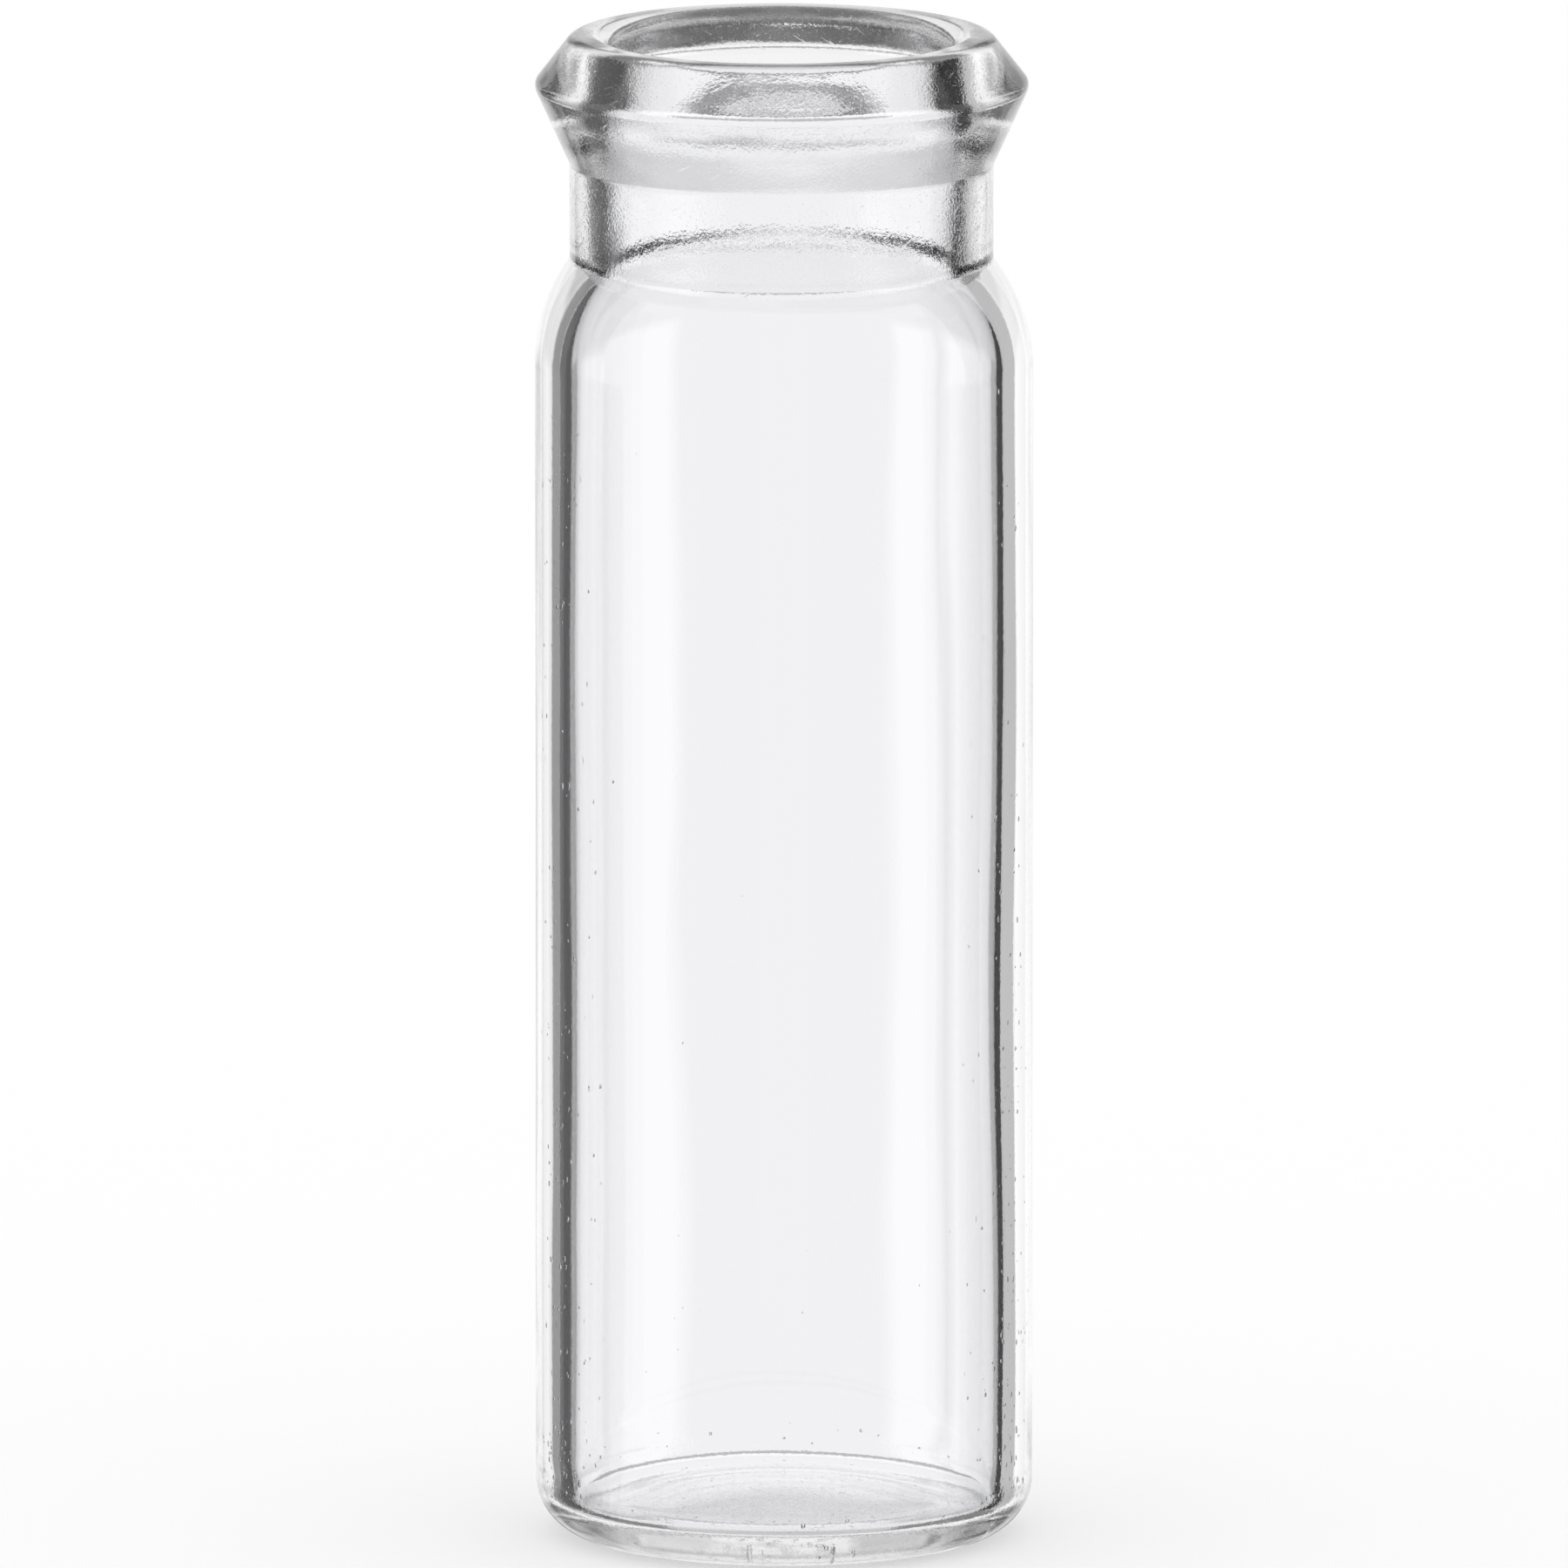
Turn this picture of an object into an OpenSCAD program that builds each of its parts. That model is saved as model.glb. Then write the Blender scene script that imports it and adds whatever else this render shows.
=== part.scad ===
// Tubular glass sample vial for a clip-on cap: one piece of clear glass.
// The whole vial is a single revolved section. The section is drawn sharp first, and then each corner
// gets its arc: the heel, the shoulder, the foot of the flange, the ridge, the rim, the throat and the
// bottom inside. Heights run up from the plane that the vial stands on.

/* [Tube] */
// Outer diameter of the straight wall
body_d = 14.75; // [12:0.05:24]
// Height from the standing ring to the top of the rim
total_h = 45; // [32:0.5:80]
// Thickness of the tube's wall
wall = 1.03; // [0.7:0.01:1.25]

/* [Bottom] */
// Thickness of the bottom
base_t = 0.8; // [0.6:0.05:1.6]
// Radius of the rounded heel outside
heel_r = 1.7; // [1:0.05:2.5]
// Radius between the wall and the bottom inside
bottom_fillet_r = 0.9; // [0.5:0.05:1.5]
// How far the middle of the bottom is pushed up, so that the vial stands on a ring
push_up = 0.2; // [0.1:0.05:0.5]
// Width of the flat ring that the vial stands on
standing_ring_w = 0.85; // [0.5:0.05:1.5]

/* [Shoulder and neck] */
// Radius of the shoulder outside
shoulder_r = 5.3; // [3.5:0.1:6]
// How much lower the shoulder starts inside than outside, which leaves the glass thicker there
shoulder_gain = 0.05; // [0:0.05:0.5]
// How far the neck stands in from the tube's wall
neck_inset = 1.1; // [0.8:0.05:1.5]
// Height of the plain neck, from the crease at the shoulder to the foot of the flange
neck_h = 2.9; // [1.5:0.05:6]
// Thickness of the neck's wall
neck_wall = 1.17; // [0.9:0.01:1.4]
// Radius of the throat, where the shoulder turns up into the bore inside
throat_r = 1; // [0.4:0.1:3]

/* [Snap flange] */
// How far the ridge stays inside the tube's outer wall, so that the vial drops through a rack hole
ridge_inset = 0.075; // [0:0.025:0.3]
// Height from the corner of the ridge to the top of the rim
ridge_drop = 1.45; // [1.2:0.05:2]
// Slope of the flange below the ridge, in degrees from the axis
under_slope = 24.5; // [18:0.5:32]
// Slope of the flange above the ridge, in degrees from the axis
upper_slope = 38; // [30:1:42]
// Radius of the ridge
ridge_r = 0.35; // [0.2:0.05:0.8]
// Radius where the neck turns out into the flange
flange_foot_r = 0.45; // [0.2:0.05:0.8]
// Radius of the rim outside
rim_r = 0.5; // [0.2:0.05:1.2]
// Radius of the fire-polished edge of the mouth
mouth_edge_r = 0.5; // [0.15:0.05:0.6]

/* [Hidden] */
$fn = 180;

// Radii of the walls
body_r = body_d / 2;
inner_r = body_r - wall;
neck_r = body_r - neck_inset;
bore_r = neck_r - neck_wall;

// The flange: its two slopes meet at the ridge's corner, which the ridge radius then takes back
ridge_half_angle = (180 - under_slope - upper_slope) / 2;
ridge_corner_r = body_r - ridge_inset + ridge_r * (1 / sin(ridge_half_angle) - 1);
ridge_z = total_h - ridge_drop;
rim_corner_r = ridge_corner_r - ridge_drop * tan(upper_slope);
flange_foot_z = ridge_z - (ridge_corner_r - neck_r) / tan(under_slope);

// The shoulder: its arc starts upright at the wall and runs into the neck at the crease
crease_z = flange_foot_z - neck_h;
shoulder_axis_r = body_r - shoulder_r;
shoulder_z = crease_z - leg(shoulder_r, neck_r - shoulder_axis_r);

// The throat: an arc that touches the inner shoulder below it and the bore above it
inner_shoulder_r = shoulder_r - wall;
inner_shoulder_z = shoulder_z - shoulder_gain;
throat_z = inner_shoulder_z + leg(inner_shoulder_r + throat_r, bore_r + throat_r - shoulder_axis_r);
inner_centre = [shoulder_axis_r, inner_shoulder_z];
throat_centre = [bore_r + throat_r, throat_z];
throat_touch = throat_centre + throat_r * unit(inner_centre - throat_centre);

// The push-up: a shallow dome over the circle inside the standing ring
dome_edge_r = body_r - heel_r - standing_ring_w;
dome_r = (dome_edge_r * dome_edge_r + push_up * push_up) / (2 * push_up);

// How far a cut runs past the face or corner that it takes away
overrun = 0.5;
// How far an arc runs past the sides that it rounds into, so that it always meets them
blend = 0.0005;

// Second leg of a right triangle
function leg(hypotenuse, side) = sqrt(hypotenuse * hypotenuse - side * side);
function unit(v) = v / norm(v);

// The sliver between a corner and an arc of radius r that touches both its sides, which run from the
// corner towards the points a and b. It reaches a little past the corner, so that no thin skin stays.
module corner_sliver(corner, a, b, r) {
    to_a = unit(a - corner);
    to_b = unit(b - corner);
    inward = unit(to_a + to_b);
    half_angle = acos(to_a * to_b) / 2;
    centre = corner + inward * r / sin(half_angle);
    touch_a = corner + to_a * r / tan(half_angle);
    touch_b = corner + to_b * r / tan(half_angle);
    difference() {
        polygon([
            corner - inward * overrun,
            touch_a + unit(touch_a - centre) * 2 * blend,
            centre,
            touch_b + unit(touch_b - centre) * 2 * blend
        ]);
        translate(centre) circle(r + blend);
    }
}

// Half section of a tube's end, filled: from the height z0 up to a rounded shoulder that starts at z1
module tube_section(r, z0, z1, bottom_r, top_r) {
    bottom = [r, z0];
    top = [r, z1 + top_r];
    difference() {
        translate([0, z0]) square([r, top[1] - z0]);
        corner_sliver(bottom, [0, z0], top, bottom_r);
        corner_sliver(top, bottom, [0, top[1]], top_r);
    }
}

// Half of a shallow dome that stands on the height z
module dome_section(z) {
    intersection() {
        translate([0, z + push_up - dome_r]) circle(dome_r);
        translate([0, z]) square([dome_edge_r + overrun, 2 * push_up]);
    }
}

// Half section of the neck and its flange, filled. It starts inside the shoulder, which it meets at a
// sharp crease.
module neck_section() {
    neck = [neck_r, shoulder_z];
    flange_foot = [neck_r, flange_foot_z];
    ridge = [ridge_corner_r, ridge_z];
    rim = [rim_corner_r, total_h];
    difference() {
        polygon([[0, shoulder_z], neck, flange_foot, ridge, rim, [0, total_h]]);
        corner_sliver(ridge, flange_foot, rim, ridge_r);
        corner_sliver(rim, ridge, [0, total_h], rim_r);
    }
    corner_sliver(flange_foot, neck, ridge, flange_foot_r);
}

// What the throat's arc leaves open between the inner shoulder and the bore
module throat_section() {
    difference() {
        polygon([inner_centre, throat_touch, throat_centre, [bore_r, throat_z]]);
        translate(throat_centre) circle(throat_r + blend);
    }
}

module outside_section() {
    tube_section(body_r, 0, shoulder_z, heel_r, shoulder_r);
    neck_section();
}

module inside_section() {
    difference() {
        tube_section(inner_r, base_t, inner_shoulder_z, bottom_fillet_r, inner_shoulder_r);
        dome_section(base_t);
    }
    throat_section();
    translate([0, inner_shoulder_z]) square([bore_r, total_h - inner_shoulder_z + overrun]);
    corner_sliver([bore_r, total_h], [neck_r, total_h], [bore_r, throat_z], mouth_edge_r);
}

module vial() {
    color([0.90, 0.93, 0.93, 0.5])
        rotate_extrude()
            difference() {
                outside_section();
                inside_section();
                dome_section(0);
            }
}

vial();
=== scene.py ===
"""Studio scene for the glass sample vial.

The vial is one shell of clear glass. It follows the section of the CAD part, with a thicker bottom, a
tighter inner corner and a slightly higher push-up, and it has the small unevenness that the flame and
the forming tools leave in real glass. It stands on a pale floor in the light of a small product
studio.
"""

import math
import random

import bmesh
import bpy
from mathutils import Matrix, Vector, noise


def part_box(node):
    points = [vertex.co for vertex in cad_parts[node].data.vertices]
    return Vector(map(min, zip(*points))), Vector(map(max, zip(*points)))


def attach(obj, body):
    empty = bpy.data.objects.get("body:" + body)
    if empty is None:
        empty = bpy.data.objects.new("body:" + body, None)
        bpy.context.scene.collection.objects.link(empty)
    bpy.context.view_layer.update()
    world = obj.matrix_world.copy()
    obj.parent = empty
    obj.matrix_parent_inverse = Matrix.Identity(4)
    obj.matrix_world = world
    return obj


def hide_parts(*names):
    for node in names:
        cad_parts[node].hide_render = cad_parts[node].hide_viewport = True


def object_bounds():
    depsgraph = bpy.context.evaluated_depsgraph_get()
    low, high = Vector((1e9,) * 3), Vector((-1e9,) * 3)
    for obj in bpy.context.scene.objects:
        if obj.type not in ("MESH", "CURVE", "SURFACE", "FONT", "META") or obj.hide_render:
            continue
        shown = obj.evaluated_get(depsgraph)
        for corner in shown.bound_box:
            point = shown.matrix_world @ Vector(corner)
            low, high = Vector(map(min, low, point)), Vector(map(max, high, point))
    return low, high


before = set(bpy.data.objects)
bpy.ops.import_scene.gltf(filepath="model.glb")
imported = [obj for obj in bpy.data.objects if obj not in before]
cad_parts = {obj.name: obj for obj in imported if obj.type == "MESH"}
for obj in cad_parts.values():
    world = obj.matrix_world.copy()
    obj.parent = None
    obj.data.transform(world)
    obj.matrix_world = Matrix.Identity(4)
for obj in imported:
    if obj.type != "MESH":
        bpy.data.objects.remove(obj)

MM = 0.001
cad_low, cad_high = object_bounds()


# ---------------------------------------------------------------------------------------------
# Sizes of the section, in metres. The tube's diameter and the height come from the CAD frame.
# ---------------------------------------------------------------------------------------------

low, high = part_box("vial")
BODY_R = (high.x - low.x) / 2
TOTAL_H = high.z
WALL = 1.07 * MM
INNER_R = BODY_R - WALL

BASE_T = 1.12 * MM
HEEL_R = 1.7 * MM
BOTTOM_FILLET_R = 0.35 * MM
LEAD_R = 4.3 * MM
LEAD_TURN = math.radians(4)
PUSH_UP = 0.3 * MM
STANDING_RING_W = 0.85 * MM

SHOULDER_R = 5.3 * MM
NECK_R = BODY_R - 1.1 * MM
NECK_H = 2.9 * MM
BORE_R = NECK_R - 1.17 * MM
THROAT_R = 1.0 * MM
SHOULDER_GAIN = 0.05 * MM

RIDGE_INSET = 0.075 * MM
RIDGE_DROP = 1.45 * MM
UNDER_SLOPE = math.radians(24.5)
UPPER_SLOPE = math.radians(38)
RIDGE_R = 0.35 * MM
FLANGE_FOOT_R = 0.45 * MM
RIM_R = 0.5 * MM
MOUTH_EDGE_R = 0.5 * MM

NECK_DRIFT = 0.07 * MM
INSIDE_DRIFT = -0.005 * MM

# How uneven each finish is, outside and inside: depth and length in millimetres, flattening and seed
# of a slow and a fine wave. A flattening above 1 makes rings round the vial, below 1 streaks along it.
UNEVENNESS = {
    ("drawn", False): ((0.010, 9.0, 0.6, 3.1), (0.001, 1.5, 0.3, 8.2)),
    ("drawn", True): ((0.030, 6.0, 0.6, 5.7), (0.002, 1.2, 0.3, 1.9)),
    ("pressed", False): ((0.015, 5.0, 1.0, 2.3), (0.007, 1.6, 2.5, 6.4)),
    ("necked", False): ((0.018, 4.0, 0.6, 2.3), (0.003, 0.9, 0.6, 6.4)),
    ("tooled", True): ((0.035, 3.5, 0.8, 7.7), (0.006, 0.7, 1.2, 4.5)),
    ("fired", False): ((0.010, 5.0, 1.0, 9.1), (0.002, 1.0, 1.0, 2.8)),
    ("fired", True): ((0.015, 3.5, 1.0, 4.4), (0.003, 1.0, 1.0, 7.3)),
}

# The unevenness fades out within this distance of the axis.
CALM_R = 1.5 * MM

# Seeds in a drawn tube lie in streaks along the draw. The streaks are given by their angle round the
# axis, in degrees from the camera's side. One seed in LOOSE_EVERY lies outside them, and a greater
# CROWDING brings more of them down to the bottom.
SEED_STREAKS = (-110, -76, -70, -65, -61, 62, 66, 71, 76, 110)
STREAK_SPREAD = 5
LOOSE_EVERY = 10
CROWDING = 1.8
WALL_SEEDS = 300
CORNER_SEEDS = 30
FLOOR_SEEDS = 220
# the least, greatest and usual width in millimetres
STREAK_SEED_W = (0.04, 0.12, 0.055)
LOOSE_SEED_W = (0.02, 0.05, 0.025)
CORNER_SEED_W = (0.04, 0.14, 0.05)
FLOOR_SEED_W = (0.04, 0.13, 0.06)
# the least and greatest length, and for the floor the usual one, as multiples of the width
WALL_SEED_LENGTH = (1, 2.5)
CORNER_SEED_LENGTH = (1, 1.6)
FLOOR_SEED_LENGTH = (1, 4, 1)
# how far the seeds keep off the skin of the glass, and where they lie in its height
WALL_SEED_GAP = 0.15 * MM
CORNER_SEED_GAPS = (0.18 * MM, 0.3 * MM)
CORNER_SEED_Z = (0.2, 0.9)
FLOOR_SEED_DEPTH = (0.5, 0.88)
# how far the draw of a seed may lean
WALL_LEAN = 0.2
FLOOR_LEAN = 0.15
# seeds wider than this get more faces
FINE_SEED_W = 0.08 * MM
# the start of the chance that places them, so that every run gives the same vial
CHANCE_START = 5

SEGMENTS = 320
FINE_STEP = 0.16 * MM
WALL_STEP = 0.8 * MM
SAME_POINT = 1e-7


# ---------------------------------------------------------------------------------------------
# The section
# ---------------------------------------------------------------------------------------------

def line(a, b, step):
    """Points from a to b, both ends in, no further apart than step."""
    a, b = Vector(a), Vector(b)
    count = max(1, math.ceil((b - a).length / step))
    return [a.lerp(b, i / count) for i in range(count + 1)]


def arc(centre, radius, start, end, step):
    """Points on a circle from the angle start to the angle end."""
    count = max(4, math.ceil(abs(end - start) * radius / step))
    angles = [start + (end - start) * i / count for i in range(count + 1)]
    return [Vector(centre) + radius * Vector((math.cos(a), math.sin(a))) for a in angles]


def rounded(before, corner, after, radius, step):
    """The arc that takes the corner off between two straight sides."""
    before, corner, after = Vector(before), Vector(corner), Vector(after)
    back = (before - corner).normalized()
    on = (after - corner).normalized()
    half = back.angle(on) / 2
    centre = corner + (back + on).normalized() * radius / math.sin(half)
    touch = corner + back * radius / math.tan(half) - centre
    start = math.atan2(touch.y, touch.x)
    turn = math.pi - 2 * half
    side = 1 if back.x * on.y - back.y * on.x < 0 else -1
    return arc(centre, radius, start, start + side * turn, step)


def joined(*runs):
    """Runs of points in one list, with the straight gaps between them left to the caller."""
    points = []
    for run in runs:
        for p in run:
            if not points or (p - points[-1]).length > SAME_POINT:
                points.append(p)
    return points


def filled(points, step):
    """The same outline with extra points wherever two neighbours are further apart than step."""
    out = [points[0]]
    for p in points[1:]:
        out.extend(line(out[-1], p, step)[1:])
    return out


dome_edge_r = BODY_R - HEEL_R - STANDING_RING_W
dome_r = (dome_edge_r ** 2 + PUSH_UP ** 2) / (2 * PUSH_UP)
dome_half = math.asin(dome_edge_r / dome_r)

ridge_half = (math.pi - UNDER_SLOPE - UPPER_SLOPE) / 2
ridge_corner_r = BODY_R - RIDGE_INSET + RIDGE_R * (1 / math.sin(ridge_half) - 1)
ridge_z = TOTAL_H - RIDGE_DROP
rim_corner_r = ridge_corner_r - RIDGE_DROP * math.tan(UPPER_SLOPE)
flange_foot_z = ridge_z - (ridge_corner_r - NECK_R) / math.tan(UNDER_SLOPE)

crease_z = flange_foot_z - NECK_H
shoulder_axis_r = BODY_R - SHOULDER_R
crease_angle = math.acos((NECK_R - shoulder_axis_r) / SHOULDER_R)
shoulder_z = crease_z - SHOULDER_R * math.sin(crease_angle)
inner_shoulder_r = SHOULDER_R - WALL
inner_shoulder_z = shoulder_z - SHOULDER_GAIN
throat_angle = math.acos((BORE_R + THROAT_R - shoulder_axis_r) / (inner_shoulder_r + THROAT_R))
throat_z = inner_shoulder_z + (inner_shoulder_r + THROAT_R) * math.sin(throat_angle)


def outside():
    """The outside in runs, from the middle of the push-up to the edge of the mouth."""
    under = arc((0, PUSH_UP - dome_r), dome_r, math.pi / 2, math.pi / 2 - dome_half, 4 * FINE_STEP)
    heel = rounded((0, 0), (BODY_R, 0), (BODY_R, TOTAL_H), HEEL_R, FINE_STEP)
    shoulder = arc((shoulder_axis_r, shoulder_z), SHOULDER_R, 0, crease_angle, FINE_STEP)
    neck, foot = (NECK_R, crease_z), (NECK_R, flange_foot_z)
    ridge, rim = (ridge_corner_r, ridge_z), (rim_corner_r, TOTAL_H)
    flange = joined(
        rounded(neck, foot, ridge, FLANGE_FOOT_R, FINE_STEP),
        rounded(foot, ridge, rim, RIDGE_R, FINE_STEP / 2),
        rounded(ridge, rim, (0, TOTAL_H), RIM_R, FINE_STEP / 2),
        rounded(rim, (BORE_R, TOTAL_H), (BORE_R, 0), MOUTH_EDGE_R, FINE_STEP / 2),
    )
    return [
        ("fired", filled(joined(under, heel), WALL_STEP)),
        ("drawn", filled([heel[-1], shoulder[0]], WALL_STEP)),
        ("drawn", shoulder),
        ("necked", filled([Vector(neck), flange[0]], 2 * FINE_STEP)),
        ("pressed", filled(flange, 1.5 * FINE_STEP)),
    ]


def inside():
    """The inside in runs, from the edge of the mouth down to the middle of the floor."""
    throat = arc((BORE_R + THROAT_R, throat_z), THROAT_R, math.pi, math.pi + throat_angle, FINE_STEP / 2)
    shoulder = arc((shoulder_axis_r, inner_shoulder_z), inner_shoulder_r, throat_angle, 0, FINE_STEP)
    bore = filled([Vector((BORE_R, TOTAL_H - MOUTH_EDGE_R)), throat[0]], 2 * FINE_STEP)
    lead_z = BASE_T + BOTTOM_FILLET_R + (LEAD_R - BOTTOM_FILLET_R) * math.sin(LEAD_TURN)
    lead = arc((INNER_R - LEAD_R, lead_z), LEAD_R, 0, -LEAD_TURN, FINE_STEP / 2)
    fillet_r = INNER_R - LEAD_R + (LEAD_R - BOTTOM_FILLET_R) * math.cos(LEAD_TURN)
    fillet_centre = (fillet_r, BASE_T + BOTTOM_FILLET_R)
    fillet = arc(fillet_centre, BOTTOM_FILLET_R, -LEAD_TURN, -math.pi / 2, FINE_STEP / 2)
    floor = arc(
        (0, BASE_T + PUSH_UP - dome_r), dome_r, math.pi / 2 - dome_half, math.pi / 2, 2 * FINE_STEP
    )
    return [
        ("tooled", joined(bore, throat)),
        ("drawn", shoulder),
        ("drawn", filled([shoulder[-1], lead[0]], WALL_STEP)),
        ("fired", filled(joined(lead, fillet, floor), 2 * FINE_STEP)),
    ]


def smooth(value, start, end):
    """0 before start, 1 after end, and an even S between them."""
    t = min(1, max(0, (value - start) / (end - start)))
    return t * t * (3 - 2 * t)


class Ring:
    """One ring of the turned shell: where it is, which way it faces, and how it was made."""

    def __init__(self, point, is_inside, finish):
        self.point = point
        self.is_inside = is_inside
        self.finish = finish
        self.facing = Vector((0, 0))
        self.is_crease = False


def rings_of(outer_runs, inner_runs):
    """The rings of the shell in order, with the way each one faces, and the crease marked."""
    rings = []
    for is_inside, runs in ((False, outer_runs), (True, inner_runs)):
        for finish, points in runs:
            for p in points:
                if not rings or (p - rings[-1].point).length > SAME_POINT:
                    rings.append(Ring(p, is_inside, finish))
    for before, ring, after in zip(rings, rings[1:], rings[2:]):
        along = (after.point - before.point).normalized()
        ring.facing = Vector((along.y, -along.x))
    crease = Vector((NECK_R, crease_z))
    min(rings, key=lambda ring: (ring.point - crease).length).is_crease = True
    return rings


def drift(ring):
    """How far the centre of a ring stands off the vial's axis, along x."""
    in_neck = smooth(ring.point.y, shoulder_z, crease_z)
    inner_share = INSIDE_DRIFT * (1 - in_neck) if ring.is_inside else 0
    return inner_share - NECK_DRIFT * in_neck


def swelling(ring, place):
    """How far the skin stands proud of the true section there, in metres."""
    total = 0
    for depth, length, flattening, seed in UNEVENNESS[ring.finish, ring.is_inside]:
        at = place / (length * MM)
        total += depth * MM * noise.noise(Vector((at.x + seed, at.y, at.z * flattening)))
    return total * smooth(ring.point.x, 0, CALM_R)


def turned(name, rings, finishes):
    """A closed shell turned from rings that start and end on the axis."""
    verts = [(0, 0, rings[0].point.y)]
    turning = rings[1:-1]
    for ring in turning:
        off = drift(ring)
        r, z = ring.point
        for k in range(SEGMENTS):
            angle = 2 * math.pi * k / SEGMENTS
            sine, cosine = math.sin(angle), math.cos(angle)
            extra = swelling(ring, Vector((r * sine, -r * cosine, z)))
            radius = r + extra * ring.facing.x
            verts.append((off + radius * sine, -radius * cosine, z + extra * ring.facing.y))
    verts.append((0, 0, rings[-1].point.y))
    top = len(verts) - 1
    last = 1 + (len(turning) - 1) * SEGMENTS
    faces = []
    finish_of = []
    for k in range(SEGMENTS):
        on = (k + 1) % SEGMENTS
        faces.append((0, 1 + on, 1 + k))
        finish_of.append(finishes.index(turning[0].finish))
        for i, ring in enumerate(turning[:-1]):
            a, b = 1 + i * SEGMENTS, 1 + (i + 1) * SEGMENTS
            faces.append((a + k, a + on, b + on, b + k))
            finish_of.append(finishes.index(turning[i + 1].finish))
        faces.append((last + k, last + on, top))
        finish_of.append(finishes.index(turning[-1].finish))
    mesh = bpy.data.meshes.new(name)
    mesh.from_pydata(verts, [], faces)
    mesh.update()
    mesh.polygons.foreach_set("use_smooth", [True] * len(mesh.polygons))
    mesh.polygons.foreach_set("material_index", finish_of)
    crease = next(i for i, ring in enumerate(turning) if ring.is_crease)
    first = 1 + crease * SEGMENTS
    for edge in mesh.edges:
        if min(edge.vertices) >= first and max(edge.vertices) < first + SEGMENTS:
            edge.use_edge_sharp = True
    obj = bpy.data.objects.new(name, mesh)
    bpy.context.scene.collection.objects.link(obj)
    return obj


def dome_height(r):
    """How far the push-up stands above its edge at the radius r."""
    return math.sqrt(dome_r ** 2 - r ** 2) - (dome_r - PUSH_UP) if r < dome_edge_r else 0


def seeds(chance):
    """Where the seeds lie, how wide and how long they are, and which way they were drawn out."""
    found = []

    def add(angle, r, z, width, length, lean):
        place = Vector((r * math.sin(angle), -r * math.cos(angle), z))
        found.append((place, width * MM, length, Vector(lean)))

    def anywhere():
        return chance.uniform(0, 2 * math.pi)

    for k in range(WALL_SEEDS):
        if k % LOOSE_EVERY == 0:
            angle = anywhere()
            width = chance.triangular(*LOOSE_SEED_W)
        else:
            angle = math.radians(chance.gauss(chance.choice(SEED_STREAKS), STREAK_SPREAD))
            width = chance.triangular(*STREAK_SEED_W)
        r = chance.uniform(INNER_R + WALL_SEED_GAP, BODY_R - WALL_SEED_GAP)
        z = HEEL_R + (shoulder_z - HEEL_R) * chance.random() ** CROWDING
        lean = (chance.uniform(-WALL_LEAN, WALL_LEAN), chance.uniform(-WALL_LEAN, WALL_LEAN), 1)
        add(angle, r, z, width, chance.uniform(*WALL_SEED_LENGTH), lean)
    for k in range(CORNER_SEEDS):
        angle = 2 * math.pi * (k + chance.random()) / CORNER_SEEDS
        r = chance.uniform(INNER_R + CORNER_SEED_GAPS[0], BODY_R - CORNER_SEED_GAPS[1])
        z = BASE_T + chance.uniform(*CORNER_SEED_Z) * MM
        lean = (chance.uniform(-1, 1), chance.uniform(-1, 1), chance.uniform(-1, 1))
        width = chance.triangular(*CORNER_SEED_W)
        add(angle, r, z, width, chance.uniform(*CORNER_SEED_LENGTH), lean)
    for _ in range(FLOOR_SEEDS):
        r = (dome_edge_r + STANDING_RING_W) * math.sqrt(chance.random())
        z = dome_height(r) + chance.uniform(*FLOOR_SEED_DEPTH) * BASE_T
        heading = anywhere()
        lean = (math.cos(heading), math.sin(heading), chance.uniform(-FLOOR_LEAN, FLOOR_LEAN))
        angle = anywhere()
        width = chance.triangular(*FLOOR_SEED_W)
        add(angle, r, z, width, chance.triangular(*FLOOR_SEED_LENGTH), lean)
    return found


def add_seeds(obj):
    """Seeds are small bubbles: closed shells inside the glass that face inwards, towards their gas."""
    shell = bmesh.new()
    for place, width, length, lean in seeds(random.Random(CHANCE_START)):
        turn = lean.to_track_quat("Z", "X").to_matrix().to_4x4()
        size = Matrix.Diagonal((width / 2, width / 2, width * length / 2, 1))
        matrix = Matrix.Translation(place) @ turn @ size
        fineness = 2 if width > FINE_SEED_W else 1
        ball = bmesh.ops.create_icosphere(shell, subdivisions=fineness, radius=1, matrix=matrix)
        faces = list({face for vert in ball["verts"] for face in vert.link_faces})
        for face in faces:
            face.smooth = True
        bmesh.ops.reverse_faces(shell, faces=faces)
    shell.from_mesh(obj.data)
    shell.to_mesh(obj.data)
    shell.free()


# ---------------------------------------------------------------------------------------------
# Materials
# ---------------------------------------------------------------------------------------------

GLASS_TINT = (0.99, 0.99, 1.0, 1)
GLASS_IOR = 1.49
# each finish: pit size, ripple size, share of pits, flattening of the ripples and depth
DRAWN = (0.12, 1.5, 0.1, 0.1, 0.003)
TOOLED = (0.085, 0.5, 0.6, 1.0, 0.0075)
PRESSED = (0.11, 1.2, 0.5, 3.5, 0.0042)
NECKED = (0.1, 1.2, 0.6, 1.0, 0.005)
FIRED = (0.1, 1.0, 0.5, 1.0, 0.004)
# where the noise of the pits starts and ends to count as a deep pit, and how rough that one is
DEEP_PIT = (0.62, 0.72)
PIT_HAZE = 0.6
# the tool marks in the mouth
MARK_DEPTH = 0.006
MARK_SPARSENESS = 0.76
MARK_STEEPNESS = 8
# the floor's paper gives half of its white as its own light and takes half from the studio
PAPER_GREY = (0.5, 0.5, 0.5, 1)


def wire(tree, source, target):
    """A link from one socket to another."""
    tree.links.new(source, target)


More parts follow.
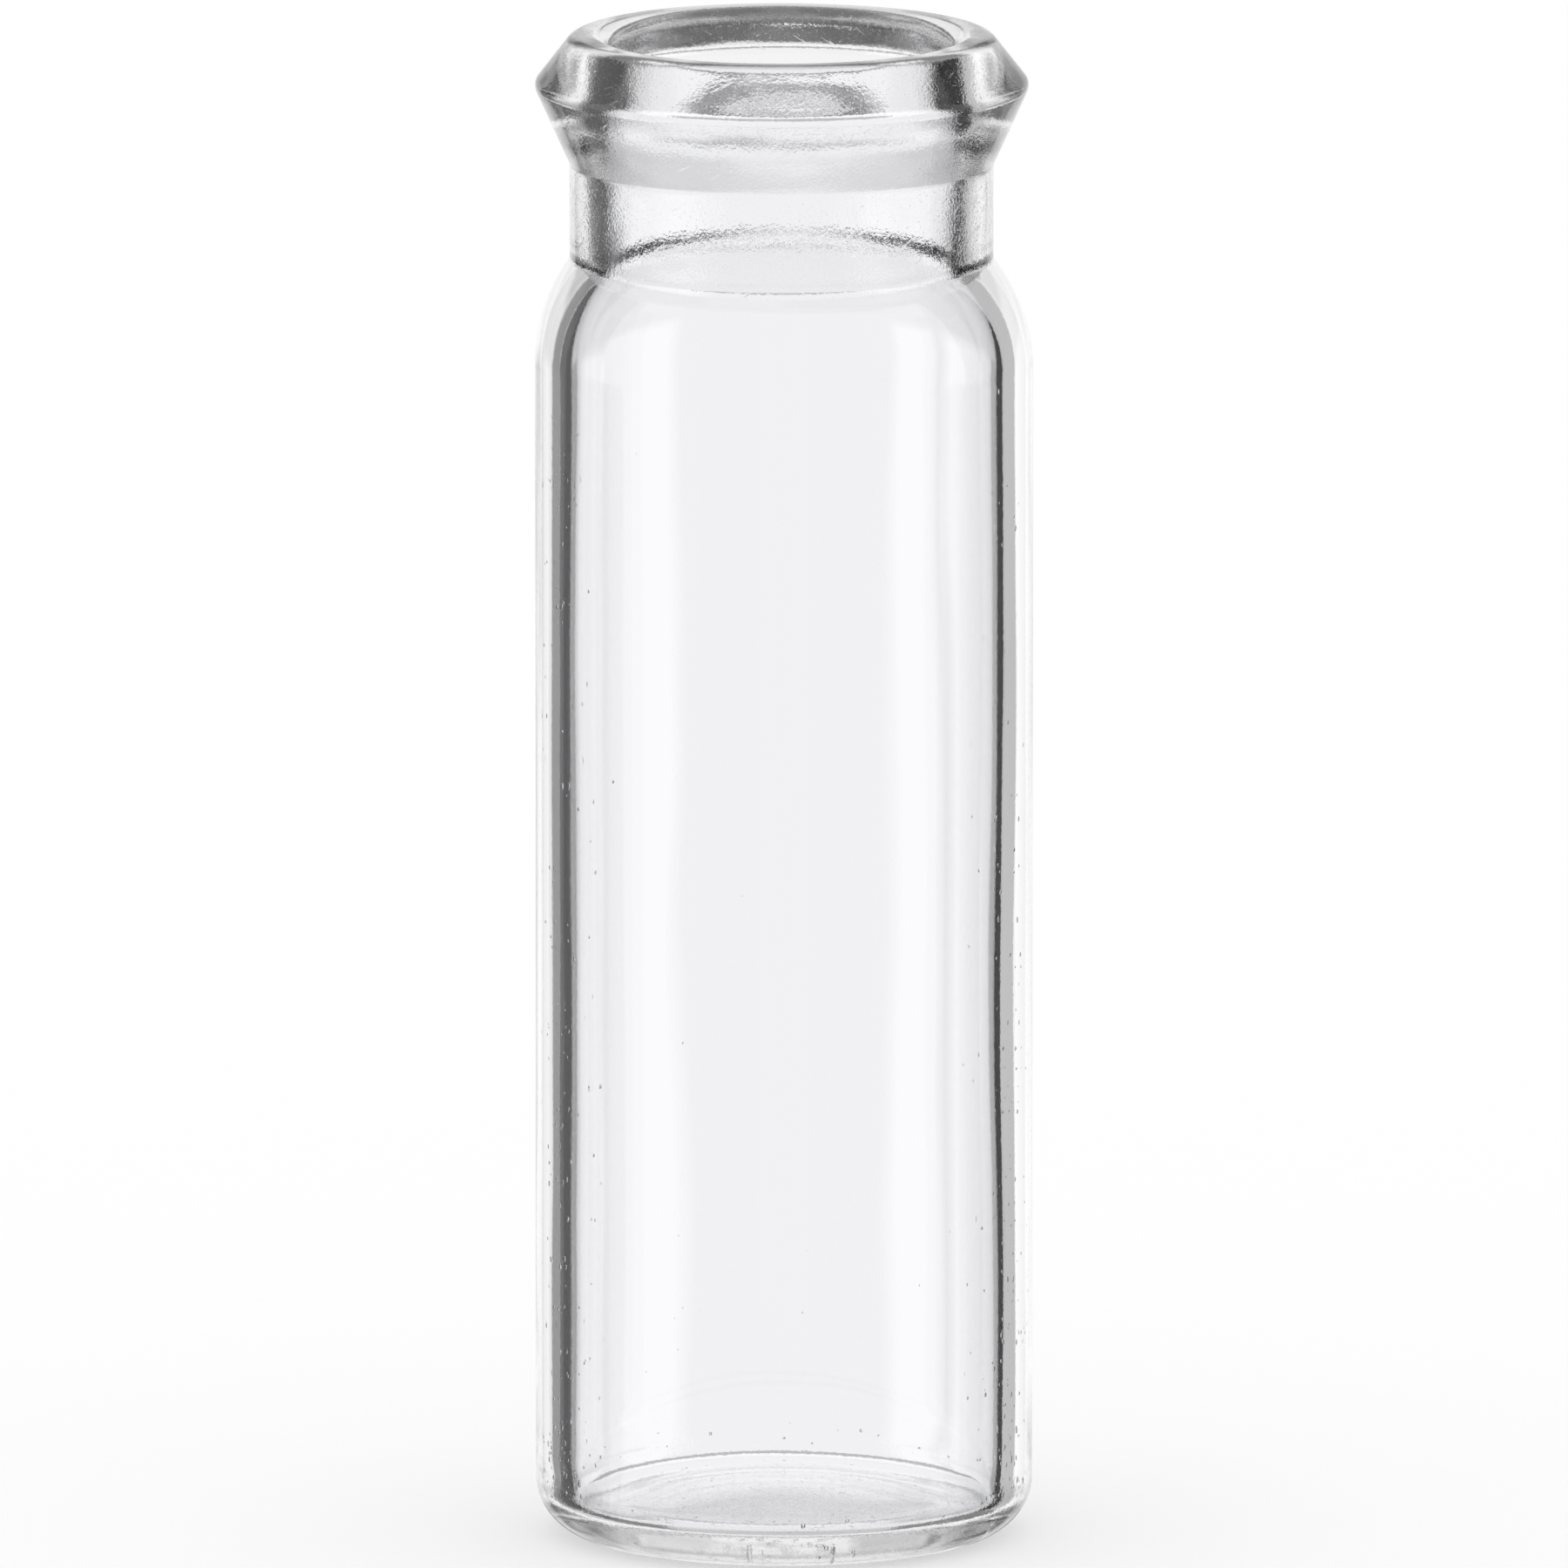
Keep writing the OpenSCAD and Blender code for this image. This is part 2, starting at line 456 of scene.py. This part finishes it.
def group_of(name, inputs, outputs):
    """An empty node group with its inputs and outputs, and the nodes that stand for them inside it."""
    group = bpy.data.node_groups.new(name, "ShaderNodeTree")
    for label, value in inputs.items():
        socket = group.interface.new_socket(label, in_out="INPUT", socket_type="NodeSocketFloat")
        socket.default_value = value
    for label in outputs:
        group.interface.new_socket(label, in_out="OUTPUT", socket_type="NodeSocketFloat")
    return group, group.nodes.new("NodeGroupInput"), group.nodes.new("NodeGroupOutput")


def math_node(tree, operation, *values, clamp=False):
    """A maths node on sockets or plain numbers; gives its output socket."""
    node = tree.nodes.new("ShaderNodeMath")
    node.operation = operation
    node.use_clamp = clamp
    for socket, value in zip(node.inputs, values):
        if isinstance(value, (int, float)):
            socket.default_value = value
        else:
            wire(tree, value, socket)
    return node.outputs[0]


def noise_of(tree, place, size, detail):
    """Even noise whose lumps are size millimetres wide."""
    texture = tree.nodes.new("ShaderNodeTexNoise")
    texture.inputs["Detail"].default_value = detail
    wire(tree, place, texture.inputs["Vector"])
    wire(tree, math_node(tree, "DIVIDE", 1 / MM, size), texture.inputs["Scale"])
    return texture.outputs["Fac"]


def combined(tree, x, y, z):
    """A vector from three sockets or plain numbers."""
    node = tree.nodes.new("ShaderNodeCombineXYZ")
    for socket, value in zip(node.inputs, (x, y, z)):
        if isinstance(value, (int, float)):
            socket.default_value = value
        else:
            wire(tree, value, socket)
    return node.outputs[0]


def pitted_skin_group():
    """Small pits and slow ripples in a skin of glass, as a height from 0 to 1 and a mask of the pits."""
    group, source, result = group_of(
        "pitted_skin",
        {"Pit Size": 0.1, "Ripple Size": 1.0, "Pits": 0.5, "Flattening": 1.0},
        ["Height", "Pit Mask"],
    )
    coord = group.nodes.new("ShaderNodeTexCoord")
    place = group.nodes.new("ShaderNodeVectorMath")
    place.operation = "MULTIPLY"
    wire(group, coord.outputs["Object"], place.inputs[0])
    wire(group, combined(group, 1, 1, source.outputs["Flattening"]), place.inputs[1])
    pits = noise_of(group, coord.outputs["Object"], source.outputs["Pit Size"], 2)
    ripples = noise_of(group, place.outputs[0], source.outputs["Ripple Size"], 1)
    mix = group.nodes.new("ShaderNodeMix")
    wire(group, source.outputs["Pits"], mix.inputs[0])
    wire(group, ripples, mix.inputs[2])
    wire(group, pits, mix.inputs[3])
    wire(group, mix.outputs[0], result.inputs["Height"])
    deep = group.nodes.new("ShaderNodeMapRange")
    deep.inputs["From Min"].default_value = DEEP_PIT[0]
    deep.inputs["From Max"].default_value = DEEP_PIT[1]
    wire(group, pits, deep.inputs["Value"])
    wire(group, deep.outputs[0], result.inputs["Pit Mask"])
    return group


def tool_marks_group():
    """Sparse slanting ridges that a forming tool leaves round the axis, as a height from 0 to 1."""
    group, source, result = group_of(
        "tool_marks",
        {"Width": 0.12, "Length": 1.2, "Slant": 0.5, "Sparseness": 0.62},
        ["Height"],
    )
    coord = group.nodes.new("ShaderNodeTexCoord")
    split = group.nodes.new("ShaderNodeSeparateXYZ")
    wire(group, coord.outputs["Object"], split.inputs[0])
    x, y, up = split.outputs
    turn = math_node(group, "ARCTAN2", x, math_node(group, "MULTIPLY", y, -1))
    round_it = math_node(group, "MULTIPLY", turn, NECK_R)
    slanted = math_node(group, "MULTIPLY", round_it, source.outputs["Slant"])
    across = math_node(group, "SUBTRACT", up, slanted)
    along = math_node(group, "ADD", round_it, math_node(group, "MULTIPLY", up, source.outputs["Slant"]))
    shrink = math_node(group, "DIVIDE", source.outputs["Width"], source.outputs["Length"])
    place = combined(group, math_node(group, "MULTIPLY", along, shrink), across, 0)
    lumps = noise_of(group, place, source.outputs["Width"], 0)
    past = math_node(group, "SUBTRACT", lumps, source.outputs["Sparseness"])
    wire(group, math_node(group, "MULTIPLY", past, MARK_STEEPNESS, clamp=True), result.inputs["Height"])
    return group


def glass(name, pit_size, ripple_size, pits, flattening, depth, marks=0.0):
    """Clear glass with a skin of its own: the sizes and the depths are in millimetres."""
    mat = bpy.data.materials.new(name)
    mat.use_nodes = True
    tree = mat.node_tree
    shader = tree.nodes["Principled BSDF"]
    shader.inputs["Base Color"].default_value = GLASS_TINT
    shader.inputs["IOR"].default_value = GLASS_IOR
    shader.inputs["Transmission Weight"].default_value = 1.0
    surface = tree.nodes.new("ShaderNodeGroup")
    surface.node_tree = skin_group
    surface.inputs["Pit Size"].default_value = pit_size
    surface.inputs["Ripple Size"].default_value = ripple_size
    surface.inputs["Pits"].default_value = pits
    surface.inputs["Flattening"].default_value = flattening
    height = math_node(tree, "MULTIPLY", surface.outputs["Height"], depth)
    if marks:
        tooling = tree.nodes.new("ShaderNodeGroup")
        tooling.node_tree = marks_group
        tooling.inputs["Sparseness"].default_value = MARK_SPARSENESS
        height = math_node(tree, "MULTIPLY_ADD", tooling.outputs["Height"], marks, height)
    bump = tree.nodes.new("ShaderNodeBump")
    bump.inputs["Strength"].default_value = 1.0
    bump.inputs["Distance"].default_value = MM
    wire(tree, height, bump.inputs["Height"])
    wire(tree, bump.outputs["Normal"], shader.inputs["Normal"])
    haze = math_node(tree, "MULTIPLY", surface.outputs["Pit Mask"], pits * PIT_HAZE)
    wire(tree, haze, shader.inputs["Roughness"])
    return mat


def pale_floor():
    """White paper to the eye; what the glass bends or mirrors looks past it into the studio."""
    mat = bpy.data.materials.new("pale_floor")
    mat.use_nodes = True
    tree = mat.node_tree
    tree.nodes.clear()
    out = tree.nodes.new("ShaderNodeOutputMaterial")
    diffuse = tree.nodes.new("ShaderNodeBsdfDiffuse")
    diffuse.inputs["Color"].default_value = PAPER_GREY
    glow = tree.nodes.new("ShaderNodeEmission")
    glow.inputs["Color"].default_value = PAPER_GREY
    paper = tree.nodes.new("ShaderNodeAddShader")
    clear = tree.nodes.new("ShaderNodeBsdfTransparent")
    mix = tree.nodes.new("ShaderNodeMixShader")
    path = tree.nodes.new("ShaderNodeLightPath")
    wire(tree, diffuse.outputs[0], paper.inputs[0])
    wire(tree, glow.outputs[0], paper.inputs[1])
    wire(tree, path.outputs["Is Camera Ray"], mix.inputs[0])
    wire(tree, clear.outputs[0], mix.inputs[1])
    wire(tree, paper.outputs[0], mix.inputs[2])
    wire(tree, mix.outputs[0], out.inputs["Surface"])
    return mat


# ---------------------------------------------------------------------------------------------
# The vial
# ---------------------------------------------------------------------------------------------

skin_group = pitted_skin_group()
marks_group = tool_marks_group()

vial = turned(
    "vial_glass", rings_of(outside(), inside()), ["drawn", "tooled", "pressed", "necked", "fired"]
)
add_seeds(vial)
for material in (
    glass("drawn_tube_glass", *DRAWN),
    glass("tooled_mouth_glass", *TOOLED, marks=MARK_DEPTH),
    glass("pressed_flange_glass", *PRESSED),
    glass("necked_glass", *NECKED),
    glass("fired_bottom_glass", *FIRED),
):
    vial.data.materials.append(material)
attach(vial, "root")
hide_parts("vial")


# ---------------------------------------------------------------------------------------------
# Floor, studio light and camera
# ---------------------------------------------------------------------------------------------

FLOOR_W = 8
bpy.ops.mesh.primitive_plane_add(size=FLOOR_W, location=(0, 0, 0))
floor = bpy.context.object
floor.name = "floor"
floor.data.materials.append(pale_floor())


def softbox_group():
    """A patch of the studio round the vial: a lit or dark panel between two azimuths and two heights.

    Azimuth 0 is straight behind the vial, and it grows to the right. All angles are in degrees.
    """
    group, source, result = group_of(
        "softbox",
        {
            "Azimuth": 0, "Height": 0, "Left": -30, "Right": 30, "Low": -90, "High": 90,
            "Soft Edge": 4, "Level": 1, "Behind": 0,
        },
        ["Light"],
    )

    def within(value, low, high):
        """1 between the two limits, falling to 0 over the soft edge outside them."""
        masks = []
        for a, b in ((value, low), (high, value)):
            past = math_node(group, "SUBTRACT", a, b)
            share = math_node(group, "DIVIDE", past, source.outputs["Soft Edge"])
            masks.append(math_node(group, "ADD", share, 0.5, clamp=True))
        return math_node(group, "MULTIPLY", *masks)

    sideways = within(source.outputs["Azimuth"], source.outputs["Left"], source.outputs["Right"])
    upright = within(source.outputs["Height"], source.outputs["Low"], source.outputs["High"])
    mask = math_node(group, "MULTIPLY", sideways, upright)
    change = math_node(group, "SUBTRACT", source.outputs["Level"], source.outputs["Behind"])
    light = math_node(group, "MULTIPLY_ADD", mask, change, source.outputs["Behind"])
    wire(group, light, result.inputs["Light"])
    return group


# left, right, low, high, soft edge, level
ROOM = (
    # the room on the camera's side, and the dark table top
    (-190, 190, -90, 90, 3, 0.9),
    (-190, 190, -90, -38, 4, 0.2),
    (-90, 90, -90, -58, 4, 0.6),
    (-190, -90, -90, -58, 4, 0.02),
    (90, 190, -90, -58, 4, 0.02),
    # the backdrop: brightest beside its middle, darker at the edges and where it meets the table
    (-30, 30, -58, 45, 4, 0.7),
    (-27, 30, -45, 18, 3, 0.92),
    (-23, 27, -27, -6, 3, 1.12),
    (-11, 11, -27, -20, 1, 1.0),
    (-11, 11, -20, -14, 1, 0.45),
    (-11, 11, -14, -1, 2, 0.9),
    (-12, -3.8, -14, -5, 1, 1.0),
    (4, 7.5, -14, -5, 1, 1.0),
    (9, 24, -16, -5, 2, 1.08),
    # dark cards low on both sides of the backdrop
    (-90, -75, -15, -5, 2, 0.25),
    (75, 90, -15, -5, 2, 0.3),
    (-37, -27, -15, -5, 2, 0.27),
    (28, 43.5, -15, -5, 1, 0.54),
    (-75, -37, -15, -5, 1, 0.09),
    (43.5, 75, -15, -5, 1, 0.02),
)
CARDS = (
    # what only reflections see: a dimmer backdrop above the table's level
    (-27, 27, 13, 45, 2, 0.48),
    (-27, -12, 4, 13, 3, 0.6),
    (12, 27, 4, 13, 3, 0.75),
    # the dark table top on the camera's side
    (-190, -110, -62, -36, 3, 0.08),
    (110, 190, -62, -36, 3, 0.08),
    # the dark cards again, taller, over a strip of the table that catches some light
    (-90, -75, -30, -5, 3, 0.24),
    (75, 90, -30, -5, 3, 0.3),
    (-75, -37, -40, -24, 3, 0.15),
    (-37, -20, -40, -24, 3, 0.67),
    (22, 75, -40, -24, 3, 0.2),
    (-37, -28, -24, 40, 2, 0.25),
    (28, 43.5, -24, 40, 1, 0.54),
    (-75, -37, -24, 40, 1, 0.09),
    (43.5, 75, -24, 40, 1, 0.02),
)


def studio():
    """The world: white to the eye and to the floor, and a room of panels to the glass."""
    world = bpy.data.worlds.new("studio")
    bpy.context.scene.world = world
    world.use_nodes = True
    world.cycles.sampling_method = "NONE"
    tree = world.node_tree
    tree.nodes.clear()
    coord = tree.nodes.new("ShaderNodeTexCoord")
    split = tree.nodes.new("ShaderNodeSeparateXYZ")
    wire(tree, coord.outputs["Generated"], split.inputs[0])
    x, y, up = split.outputs
    azimuth = math_node(tree, "DEGREES", math_node(tree, "ARCTAN2", x, y))
    height = math_node(tree, "DEGREES", math_node(tree, "ARCSINE", up))
    group = softbox_group()

    def laid_over(light, panels):
        """The light with the panels laid over it, one after the other."""
        for left, right, below, above, edge, level in panels:
            panel = tree.nodes.new("ShaderNodeGroup")
            panel.node_tree = group
            wire(tree, azimuth, panel.inputs["Azimuth"])
            wire(tree, height, panel.inputs["Height"])
            panel.inputs["Left"].default_value = left
            panel.inputs["Right"].default_value = right
            panel.inputs["Low"].default_value = below
            panel.inputs["High"].default_value = above
            panel.inputs["Soft Edge"].default_value = edge
            panel.inputs["Level"].default_value = level
            if light is not None:
                wire(tree, light, panel.inputs["Behind"])
            light = panel.outputs["Light"]
        return light

    def chosen(factor, light, other):
        """The light, or the other one where the factor is 1."""
        kept = math_node(tree, "MULTIPLY", light, math_node(tree, "SUBTRACT", 1, factor))
        return math_node(tree, "MULTIPLY_ADD", other, factor, kept)

    room = laid_over(None, ROOM)
    path = tree.nodes.new("ShaderNodeLightPath")
    mirrored = math_node(tree, "GREATER_THAN", path.outputs["Glossy Depth"], 0.5)
    seen_in_glass = chosen(mirrored, room, laid_over(room, CARDS))
    plain = math_node(tree, "MAXIMUM", path.outputs["Is Camera Ray"], path.outputs["Is Diffuse Ray"])
    background = tree.nodes.new("ShaderNodeBackground")
    out = tree.nodes.new("ShaderNodeOutputWorld")
    wire(tree, chosen(plain, seen_in_glass, 1.0), background.inputs["Color"])
    wire(tree, background.outputs[0], out.inputs["Surface"])


studio()

ELEVATION = math.radians(9.8)
CAMERA_DISTANCE = 1.55
VIEW_WIDTH = 46.5 * MM
SENSOR_WIDTH = 36
MOST_BOUNCES = 32
centre = (cad_low + cad_high) / 2
camera_data = bpy.data.cameras.new("camera")
camera = bpy.data.objects.new("camera", camera_data)
bpy.context.scene.collection.objects.link(camera)
back = Vector((0, -math.cos(ELEVATION), math.sin(ELEVATION)))
camera.location = centre + back * CAMERA_DISTANCE
camera.rotation_mode = "QUATERNION"
camera.rotation_quaternion = (-back).to_track_quat("-Z", "Y")
camera_data.sensor_width = SENSOR_WIDTH
camera_data.lens = SENSOR_WIDTH * CAMERA_DISTANCE / VIEW_WIDTH
bpy.context.scene.camera = camera

scene = bpy.context.scene
scene.view_settings.view_transform = "Standard"
scene.cycles.max_bounces = MOST_BOUNCES
scene.cycles.glossy_bounces = MOST_BOUNCES
scene.cycles.transmission_bounces = MOST_BOUNCES
